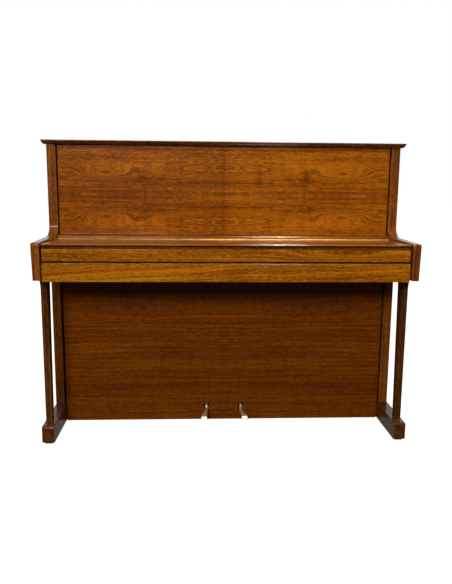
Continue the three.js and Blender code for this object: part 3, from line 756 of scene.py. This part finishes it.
def trap_lever():
    low, high = size("trap_lever_right")
    beam = ease(block("trap_lever_right"), 2.5)
    bolts = [screw((x, low.y - 0.1, (low.z + high.z) / 2), (0, -1, 0), 3.4, 1.2)
             for x in (low.x + 14, LEVER_X)]
    return gather([beam] + [(bolt, 1) for bolt in bolts])


def pedal_rod():
    low, high = size("pedal_rod_right")
    x, y, radius = (low.x + high.x) / 2, (low.y + high.y) / 2, (high.x - low.x) / 2
    waist, cap, sides = low.z + 22, high.z - 14, 14
    parts = [rod((x, y, low.z), (x, y, waist), radius * 0.75, sides, radius),
             rod((x, y, waist), (x, y, cap), radius, sides)]
    felt_cap = rod((x, y, cap), (x, y, high.z), radius * 0.95, sides, round_end=4)
    return gather(parts + [(felt_cap, 1)])


def bottom_board():
    """The case floor with the stands for the pedals and trap levers, and their screws."""
    low, high = size("bottom_board")
    top, lever_y, pedal_y = 40, 100, 180
    parts = [ease(slab((low.x, high.x), (low.y, high.y), (low.z, top)), 2)]
    for side in (-1, 1):
        lever, foot = side * LEVER_X, side * PEDAL_X
        stands = [slab((lever - 10, lever + 10), (lever_y - 12, lever_y + 12), (top, high.z)),
                  slab((foot - 14, foot + 14), (pedal_y - 8, pedal_y + 8), (top, 60.8))]
        parts += [ease(stand, 1.5) for stand in stands]
        parts += [(screw((lever + d, lever_y - 22, top), (0, 0, 1)), 1) for d in (-14, 14)]
        parts += [(screw((foot + d, pedal_y + 14, top), (0, 0, 1)), 1) for d in (-8, 8)]
    return gather(parts)


def build_pedals():
    pair("pedal_lever", pedal, "pedal", "pedal_{}", ["pedal_{}"])
    pair("trap_lever_beam", trap_lever, ["beech", "steel"], "trap_lever_{}", ["trap_lever_{}"])
    pair("pedal_rod_dowel", pedal_rod, ["beech_up", "red_felt"], "pedal_rod_{}", ["pedal_rod_{}"])
    piece("case_floor", bottom_board(), ["pine_long", "steel"], stands_for=["bottom_board"])


# ---------------------------------------------------------------- keyboard case
def fall_top():
    """The top rises a little to the front and ends in a nosing with a cove under it."""
    low, high = size("fall_top")
    face, recess, nose, rear_top, cove_foot, cove_head = -289, 13, 4, 791, 781.3, 793.6
    slope = (high.z - rear_top) / (high.y - low.y)
    brow = high.z - slope * nose
    outline = [(high.y, low.z), (high.y, rear_top)]
    outline += arc((low.y + nose, brow - nose), (nose, nose), 90, 180, 8)
    cove = (face + recess - low.y - 1, cove_head - cove_foot)
    outline += arc((low.y + 1, cove_foot), cove, 90, 0, 10)
    return ease(prism(outline, "x", low.x, high.x), 1.2, 3, angle=50)


def build_fallboard():
    low, high = size("fall_rail")
    rail = block("fall_rail")
    ease(rail, 6, 6, pick=lambda a, b: min(a.z, b.z) > high.z - 1 and max(a.y, b.y) < low.y + 1)
    piece("hinge_rail", ease(rail, 0.8, 2, angle=40), "fall", stands_for=["fall_rail"])
    piece("fallboard_top", fall_top(), "fall", "fallboard", ["fall_top"])
    piece("fallboard_front", ease(block("fall_front"), 1.6), "drop", "fallboard", ["fall_front"])
    low, high = size("fall_hinge")
    y, z, radius = (low.y + high.y) / 2, (low.z + high.z) / 2, (high.z - low.z) / 2
    barrel = hinge_barrel(y, z, radius, high.x)
    piece("fallboard_hinge_barrel", barrel, "brass", "fallboard", ["fall_hinge"])
    x = (low.x + 1, high.x - 1)
    rear, foot = size("fall_top")[1].y, size("fall_top")[0].z + 1.5
    leaf = ease(slab(x, (rear, rear + 1), (foot, z - 0.6)), 0.3, 1)
    piece("fallboard_hinge_leaf", leaf, "brass", "fallboard")
    front = size("fall_rail")[0].y
    leaf = ease(slab(x, (front - 1, front), (foot, z - 0.6)), 0.3, 1)
    piece("hinge_rail_leaf", leaf, "brass")


def build_keyboard_case():
    build_fallboard()
    slip = ease(block("key_slip"), 1.2)
    piece("key_slip_rail", slip, "slip", stands_for=["key_slip"])
    low, high = size("key_slip")
    x = (low.x + 1, high.x - 1)
    # A felt strip on the key slip's top; its near-black brown is partly painted shadow for the gap under
    # the fallboard.
    strip = ease(slab(x, (low.y + 4, high.y - 1), (high.z, high.z + 3.4)), 0.9, 2)
    piece("key_slip_felt", strip, "dark_felt")
    bed = ease(block("key_bed"), 1.5, 2)
    piece("key_bed_board", bed, "lower", stands_for=["key_bed"])
    pair("cheek_block", lambda: ease(block("key_block_right"), 4, 4), "fall",
         stands_for=["key_block_{}"])
    low, high = size("name_board")
    front, thick, shelf = low.y, 12, high.z - 12
    outline = [(front, low.z), (front + thick, low.z), (front + thick, shelf), (high.y, shelf),
               (high.y, high.z), (front, high.z)]
    strip = ease(prism(outline, "x", low.x, high.x), 1.2)
    piece("name_board_strip", strip, "fall", stands_for=["name_board"])
    strip = ease(slab((-608, 608), (front + 1.5, front + 4.5), (739.5, low.z - 0.1)), 0.8, 2)
    piece("name_board_felt", strip, "red_felt")


# ---------------------------------------------------------------- keys
PITCH = 23.5
KEYS_LEFT = -26 * PITCH
KEY_FRONT, KEY_REAR = -262, 60
KEY_UNDER = 716
KEY_SHOW = -112                  # rear end of the coverings
WHITE_TOP, WHITE_COVER = 737.5, 2.6
BLACK_BASE, BLACK_TOP = 735, 749
BLACK_FRONT = -207
BLACK_HALF = 5
BLACK_OFFSETS = {0: -2.2, 1: 2.2, 3: -3, 4: 0, 5: 3}
MIDDLE = {23: "c4", 24: "d4", 25: "e4", 26: "f4", 27: "g4", 28: "a4", 29: "b4"}
WHITES = 52


def black_centre(white):
    """The middle of the black key to the right of a white key, or None."""
    step = (white + 5) % 7
    if white < 0 or white >= WHITES - 1 or step not in BLACK_OFFSETS:
        return None
    return KEYS_LEFT + (white + 1) * PITCH + BLACK_OFFSETS[step]


def white_plan(white, front, rear, inset=0.0):
    """A wide head, and a tail that passes between the black keys."""
    left = KEYS_LEFT + white * PITCH + 0.5 + inset
    right = left + PITCH - 1 - 2 * inset
    before, after = black_centre(white - 1), black_centre(white)
    clear = BLACK_HALF + 1 + inset
    tail_left = left if before is None else before + clear
    tail_right = right if after is None else after - clear
    shoulder = BLACK_FRONT - 2 - inset
    points = [(left, front), (right, front)]
    if after is not None:
        points += [(right, shoulder), (tail_right, shoulder)]
    points += [(tail_right, rear), (tail_left, rear)]
    if before is not None:
        points += [(tail_left, shoulder), (left, shoulder)]
    return points


def white_key(white):
    """A moulded top with a front lip on a wooden stick. Material 0 is the covering, 1 the wood."""
    board = WHITE_TOP - WHITE_COVER
    cap = prism(white_plan(white, KEY_FRONT, KEY_SHOW), "z", board, WHITE_TOP)
    ease(cap, 0.8, 2, angle=60)
    x = (KEYS_LEFT + white * PITCH + 0.9, KEYS_LEFT + (white + 1) * PITCH - 0.9)
    plate = slab(x, (KEY_FRONT + 0.9, KEY_FRONT + 1.8), (KEY_UNDER, board))
    stick = prism(white_plan(white, KEY_FRONT + 1.8, KEY_REAR, 0.3), "z", KEY_UNDER, board)
    return gather([cap, plate, (ease(stick, 0.4, 1, angle=60), 1)])


def black_key(white):
    """A tapered, round-edged top on a wooden stick."""
    centre = black_centre(white)
    side = [(BLACK_FRONT, BLACK_BASE), (KEY_SHOW, BLACK_BASE), (KEY_SHOW, BLACK_TOP - 0.4),
            (BLACK_FRONT + 12, BLACK_TOP), (BLACK_FRONT + 7, BLACK_TOP - 0.8),
            (BLACK_FRONT + 3.5, BLACK_TOP - 3.5)]
    cap = prism(side, "x", centre - BLACK_HALF, centre + BLACK_HALF)
    for vert in cap.verts:
        if vert.co.z > BLACK_BASE + 1:
            vert.co.x = centre + (vert.co.x - centre) * 0.84
    ease(cap, 1.3, 3, angle=50)
    x = (centre - BLACK_HALF + 0.2, centre + BLACK_HALF - 0.2)
    stick = slab(x, (BLACK_FRONT + 1, KEY_REAR), (KEY_UNDER, BLACK_BASE - 0.1))
    return gather([cap, (ease(stick, 0.4, 1), 1)])


def build_keys():
    looks = {"white": ["white_key", "key_stick"], "black": ["black_key", "key_stick"]}
    for name, first, last in (("bass", 0, 22), ("treble", 30, 51)):
        whites = [white_key(i) for i in range(first, last + 1)]
        piece(f"{name}_white_keys", gather(whites), looks["white"], "case", [f"keys_{name}"], 50)
        blacks = [black_key(i) for i in range(first, last) if black_centre(i) is not None]
        piece(f"{name}_black_keys", gather(blacks), looks["black"], smooth=50)
    for white, note in MIDDLE.items():
        body = f"key_{note}"
        piece(f"white_{body}", white_key(white), looks["white"], body, [body], 50)
        if black_centre(white) is not None:
            body += "_sharp"
            piece(f"black_{body}", black_key(white), looks["black"], body, [body], 50)


# ---------------------------------------------------------------- back
def build_back():
    for name, look in (("post_left", "pine"), ("post_middle", "pine"), ("post_right", "pine"),
                       ("top_beam", "pine_long"), ("bottom_beam", "pine_long")):
        node = f"back_{name}"
        piece(f"frame_{name}", ease(block(node), 5), look, stands_for=[node])
    board = ease(block("soundboard"), 1.5, 2)
    piece("sounding_board", board, "spruce", stands_for=["soundboard"])
    piece("soundboard_ribs", gather(ribs(size("soundboard")[1].y + 0.05)), "spruce")


def ribs(face):
    """Slanted ribs behind the soundboard, let into the posts."""
    posts = [size(f"back_post_{side}") for side in ("left", "middle", "right")]
    edge = size("back_top_beam")[1].x - 8
    lefts = [-edge] + [high.x + 1 for _, high in posts]
    rights = [low.x - 1 for low, _ in posts] + [edge]
    bottom, top = (corner.z for corner in posts[0])
    half, thick, made = 17, 15, []
    for line in range(-500, 1700, 150):
        for left, right in zip(lefts, rights):
            start = max(left, line - top + half)
            end = min(right, line - bottom - half)
            if end - start < 40:
                continue
            outline = [(start, line - start - half), (end, line - end - half),
                       (end, line - end + half), (start, line - start + half)]
            made.append(ease(prism(outline, "y", face, face + thick), 3, 3))
    return made


# ---------------------------------------------------------------- plate and strings
def lattice(x_cuts, z_cuts, holes, y):
    """A plate in the X-Z plane made of cells; holes are the cells left out."""
    bm = fresh()
    grid = {(i, j): bm.verts.new((x, y[0], z))
            for i, x in enumerate(x_cuts) for j, z in enumerate(z_cuts)}
    for i in range(len(x_cuts) - 1):
        for j in range(len(z_cuts) - 1):
            if (i, j) not in holes:
                bm.faces.new((grid[i, j], grid[i + 1, j], grid[i + 1, j + 1], grid[i, j + 1]))
    bmesh.ops.dissolve_limit(bm, angle_limit=0.01, verts=bm.verts, edges=bm.edges)
    front = list(bm.faces)
    raised = bmesh.ops.extrude_face_region(bm, geom=front)
    moved = [e for e in raised["geom"] if isinstance(e, bmesh.types.BMVert)]
    bmesh.ops.translate(bm, vec=(0, y[1] - y[0], 0), verts=moved)
    bmesh.ops.recalc_face_normals(bm, faces=bm.faces)
    return bm


BAR_Z = 1000                     # underside of the pressure bar, where the strings start


def build_plate():
    low, high = size("iron_plate")
    y = (low.y, low.y + 11.7)
    window_x, window_z = (60, 600), (330, 880)
    x_cuts = [low.x, -window_x[1], -window_x[0], *window_x, high.x]
    bm = lattice(x_cuts, [low.z, *window_z, high.z], {(1, 1), (3, 1)}, y)

    def window_corner(a, b):
        upright_to_plate = abs(a.x - b.x) < 1 and abs(a.z - b.z) < 1
        return upright_to_plate and low.z + 1 < a.z < high.z - 1 and abs(a.x) < window_x[1] + 10

    ease(bm, 35, 6, pick=window_corner)
    parts = [ease(bm, 3, 3, angle=40)]
    rim_y = (y[1], size("soundboard")[0].y - 0.3)
    parts.append(slab((low.x, high.x), rim_y, (low.z, low.z + 16)))
    parts += [slab(x, rim_y, (low.z + 16, 984))
              for x in ((low.x, low.x + 16), (high.x - 16, high.x))]
    for x in (-638, -330, 0, 330, 638):
        parts.append(ease(slab((x - 9, x + 9), (y[0] - 4, y[0] + 1), (900, 1000)), 2.5, 2))
    bolts = [(x, z) for x in (-640, -320, 0, 320, 640) for z in (120, 300, 900)]
    parts += [(screw((x, y[0] - (4 if z == 900 else 0), z), (0, -1, 0), 9, 4), 1) for x, z in bolts]
    piece("string_plate", gather(parts), ["iron", "steel"], stands_for=["iron_plate"], smooth=45)
    bar = ease(slab((-625, 625), (y[0] - 14, y[0] - 5), (BAR_Z, BAR_Z + 14)), 2.5)
    piece("pressure_bar", bar, "steel")


NOTES = 88
# Each bridge: its first and last note, and x and z of its two ends.
BRIDGES = {
    "bass": (0, 25, (-500, -100), (352, 400)),
    "tenor": (26, 49, (-560, -90), (430, 550)),
    "treble": (50, 87, (88, 588), (600, 850)),
}
BASS_LAST = BRIDGES["bass"][1]


def note_x(note):
    return -590 + note * 13.56


def string_ends(note):
    """Where a note's wires start under the pressure bar, and where they meet the bridge."""
    for first, last, x, z in BRIDGES.values():
        if note <= last:
            share = (note - first) / (last - first)
            return note_x(note), x[0] + (x[1] - x[0]) * share, z[0] + (z[1] - z[0]) * share


def wires_of(note):
    return 1 if note < 10 else 2 if note < 28 else 3


def build_strings():
    """One wire at a time, each with its tuning pin."""
    steel, copper, pins = [], [], []
    for note in range(NOTES):
        top, foot, bridge_z = string_ends(note)
        bass = note <= BASS_LAST
        count, y = wires_of(note), 151.2 if bass else 153.6
        end_z = max(200, bridge_z - 90)
        for k in range(count):
            shift = (k - (count - 1) / 2) * 3.2
            pin = (top + shift * 1.2, 1040 + 30 * k + (note % 2) * 12)
            radius = 1.3 - note * 0.02 if bass else 0.5
            lower = foot + (foot - top) * (bridge_z - end_z) / (BAR_Z - bridge_z)
            wire = rod((top + shift, y, BAR_Z), (lower + shift, y, end_z), radius, 5)
            (copper if bass else steel).append(wire)
            x, z = pin
            steel.append(rod((x, 147, z), (top + shift, y, BAR_Z), 0.5, 4))
            pins.append(rod((x, 160, z), (x, 136, z + 2), 3.3, 8, round_end=1.5))
            for coil in range(3):
                start = 146 - coil * 1.3, 145.1 - coil * 1.3
                pins.append(rod((x, start[0], z), (x, start[1], z), 4.4, 8))
    piece("plain_strings", gather(steel), "steel", stands_for=["strings"])
    piece("wound_strings", gather(copper), "copper")
    piece("tuning_pins", gather(pins), "steel")


def build_bridges():
    """Beech rails on the soundboard that carry the strings."""
    rear = size("soundboard")[0].y
    for name, (first, last, _, _) in BRIDGES.items():
        front = 153.2 if name == "bass" else 155
        (_, x0, z0), (_, x1, z1) = (string_ends(note) for note in (first, last))
        along = Vector((x1 - x0, 0, z1 - z0)).normalized()
        across = Vector((-along.z, 0, along.x))
        rings = []
        for x, z, reach in ((x0, z0, -14), (x1, z1, 14)):
            centre = Vector((x, 0, z)) + along * reach
            corners = ((-15, rear), (15, rear), (12, front), (-12, front))
            rings.append([centre + across * a + Vector((0, y, 0)) for a, y in corners])
        piece(f"{name}_bridge", ease(loft(rings), 2.5), "beech")


# ---------------------------------------------------------------- action
def build_action():
    low, high = size("action_frame")
    y = (low.y, 83.7)
    main = ease(slab((low.x + 10, high.x - 10), y, (770, 800)), 3)
    bracket = [(y[0], low.z), (y[1], low.z), (y[1], 800)] + arc((125, 1000 - 8), (8, 8), 0, 90, 5)
    bracket += [(110, 1000), (y[0], 830)]
    bracket[3:3] = [(133, 960)]
    parts = [(main, 1)]
    for x in (low.x + 10, -210, 210, high.x - 10):
        foot = bracket if abs(x) > 600 else [(a, max(b, 770)) for a, b in bracket]
        parts.append(ease(prism(foot, "x", x - 5, x + 5), 1.5, 2, angle=40))
    piece("action_brackets", gather(parts), ["iron", "beech"], stands_for=["action_frame"])


HAMMER_FELT = [(100, 928), (104, 925), (110, 928), (115, 935), (117.6, 943), (117.8, 948),
               (115.5, 956), (110, 963), (104, 966), (100, 963), (103, 955), (104, 945), (103, 936)]
HAMMER_WOOD = [(89, 939), (89, 951), (98, 954), (108, 949), (108, 942), (98, 936)]
DAMPED_NOTES = 66                # the highest notes have no dampers


def build_hammers():
    """Shanks, butts and felt heads swing as one when the soft pedal moves the rest rail."""
    parts = []
    for note in range(NOTES):
        x = note_x(note)
        half = 5.2 if note < 30 else 4.6
        wood_half = half - 0.6
        parts.append(ease(prism(HAMMER_FELT, "x", x - half, x + half), 0.8, 2, angle=50))
        parts.append((ease(prism(HAMMER_WOOD, "x", x - wood_half, x + wood_half), 0.5, 1), 1))
        parts.append((rod((x, 99, 826), (x, 97, 940), 2.8, 8), 1))
        parts.append((ease(slab((x - 4, x + 4), (92, 106), (800, 828)), 1.5, 2), 1))
    piece("hammer_heads", gather(parts), ["white_felt", "beech_up"], "hammer_rest", ["hammers"])
    low, high = size("hammer_rail")
    seat = high.y - 4
    rail = ease(slab((low.x, high.x), (low.y, seat), (low.z, high.z)), 3)
    cushion = slab((low.x + 4, high.x - 4), (seat, high.y - 0.8), (low.z + 2, high.z - 2))
    parts = [(ease(cushion, 1.4, 3), 1), rail]
    piece("hammer_rest_rail", gather(parts), ["beech", "red_felt"], "hammer_rest",
          ["hammer_rail"])


def build_dampers():
    parts = []
    for note in range(DAMPED_NOTES):
        x = note_x(note)
        parts.append(ease(slab((x - 4.6, x + 4.6), (141, 149.3), (834, 878)), 1.2, 2))
        parts.append((ease(slab((x - 4.2, x + 4.2), (134, 141), (838, 874)), 1.0, 2), 1))
        parts.append((rod((x, 128, 822), (x, 136, 856), 1.2, 6), 2))
        parts.append((ease(slab((x - 3.6, x + 3.6), (122.5, 133), (800, 824)), 1.0, 1), 1))
    piece("damper_heads", gather(parts), ["white_felt", "beech_up", "steel"], "damper_lift",
          ["dampers"])


# ---------------------------------------------------------------- carried-over nodes
def repaint(node, look):
    """A hidden CAD node keeps its own shape and gets a proper material."""
    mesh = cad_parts[node].data
    mesh.materials.clear()
    mesh.materials.append(LOOKS[look][1])


# ---------------------------------------------------------------- stage
def build_floor():
    paint = Paint("floor_pale")
    point = paint.place()
    cloud = paint.noise(point, (0.7, 0.7, 0.7), detail=3.0)
    tint = paint.ramp(cloud, [(0.3, (0.5, 0.5, 0.5)), (0.7, (0.54, 0.54, 0.54))])
    material = paint.finish(tint, 0.8, Specular_IOR_Level=0.0, Emission_Color=(1, 1, 1, 1),
                            Emission_Strength=0.9)
    half = 30
    mesh = bpy.data.meshes.new("floor")
    corners = [(-half, -half, 0), (half, -half, 0), (half, half, 0), (-half, half, 0)]
    mesh.from_pydata(corners, [], [(0, 1, 2, 3)])
    mesh.materials.append(material)
    floor = bpy.data.objects.new("floor", mesh)
    bpy.context.scene.collection.objects.link(floor)
    floor.visible_diffuse = False
    floor.visible_glossy = False


def area_light(name, place, target, width, height, power, colour=(1, 1, 1)):
    data = bpy.data.lights.new(name, "AREA")
    data.shape = "RECTANGLE"
    data.size, data.size_y = width, height
    data.energy = power
    data.color = colour
    light = bpy.data.objects.new(name, data)
    light.location = place
    light.rotation_euler = (Vector(target) - Vector(place)).to_track_quat("-Z", "Y").to_euler()
    bpy.context.scene.collection.objects.link(light)
    return light


def build_world():
    """White to the camera; as a light, bright behind and above and dim in front and below."""
    world = bpy.data.worlds.new("studio")
    bpy.context.scene.world = world
    world.use_nodes = True
    tree = world.node_tree
    tree.nodes.clear()

    def node(kind, **settings):
        made = tree.nodes.new("ShaderNode" + kind)
        for key, value in settings.items():
            setattr(made, key, value)
        return made

    def ranged(value, low, high, to_low, to_high):
        made = node("MapRange")
        tree.links.new(value, made.inputs["Value"])
        limits = {"From Min": low, "From Max": high, "To Min": to_low, "To Max": to_high}
        for key, number in limits.items():
            made.inputs[key].default_value = number
        return made.outputs[0]

    def multiplied(first, second):
        made = node("Math", operation="MULTIPLY")
        tree.links.new(first, made.inputs[0])
        tree.links.new(second, made.inputs[1])
        return made.outputs[0]

    parts = node("SeparateXYZ")
    tree.links.new(node("TexCoord").outputs["Generated"], parts.inputs[0])
    depth = ranged(parts.outputs["Y"], -0.5, 0.3, 0.11, 1.0)
    height = ranged(parts.outputs["Z"], -0.15, 0.1, 0.25, 1.0)
    zenith = ranged(parts.outputs["Z"], 0.3, 0.75, 1.0, 0.3)
    strength = multiplied(multiplied(depth, height), zenith)
    lamp, seen = node("Background"), node("Background")
    tree.links.new(strength, lamp.inputs["Strength"])
    mixed, output = node("MixShader"), node("OutputWorld")
    tree.links.new(node("LightPath").outputs["Is Camera Ray"], mixed.inputs[0])
    tree.links.new(lamp.outputs[0], mixed.inputs[1])
    tree.links.new(seen.outputs[0], mixed.inputs[2])
    for background in (lamp, seen):
        background.inputs["Color"].default_value = (1, 1, 1, 1)
    tree.links.new(mixed.outputs[0], output.inputs[0])


def build_stage():
    build_floor()
    area_light("key", (-1.1, -4.6, 2.6), (0, 0, 0.7), 1.6, 1.2, 150, (1.0, 0.97, 0.93))
    area_light("overhead", (0.42, -1.2, 3.2), (0.1, 0, 0.8), 0.5, 0.5, 42)
    window = area_light("window", (0.55, -1.2, 3.2), (0.2, 0, 0.8), 0.4, 0.5, 220)
    window.visible_diffuse = False
    build_world()
    bpy.context.scene.view_settings.view_transform = "Standard"


# ---------------------------------------------------------------- all of it
build_case()
build_lower_case()
build_pedals()
build_keyboard_case()
build_keys()
build_back()
build_plate()
build_strings()
build_bridges()
build_action()
build_hammers()
build_dampers()
repaint("key_frame", "pine_long")
repaint("pin_block", "beech")
build_stage()
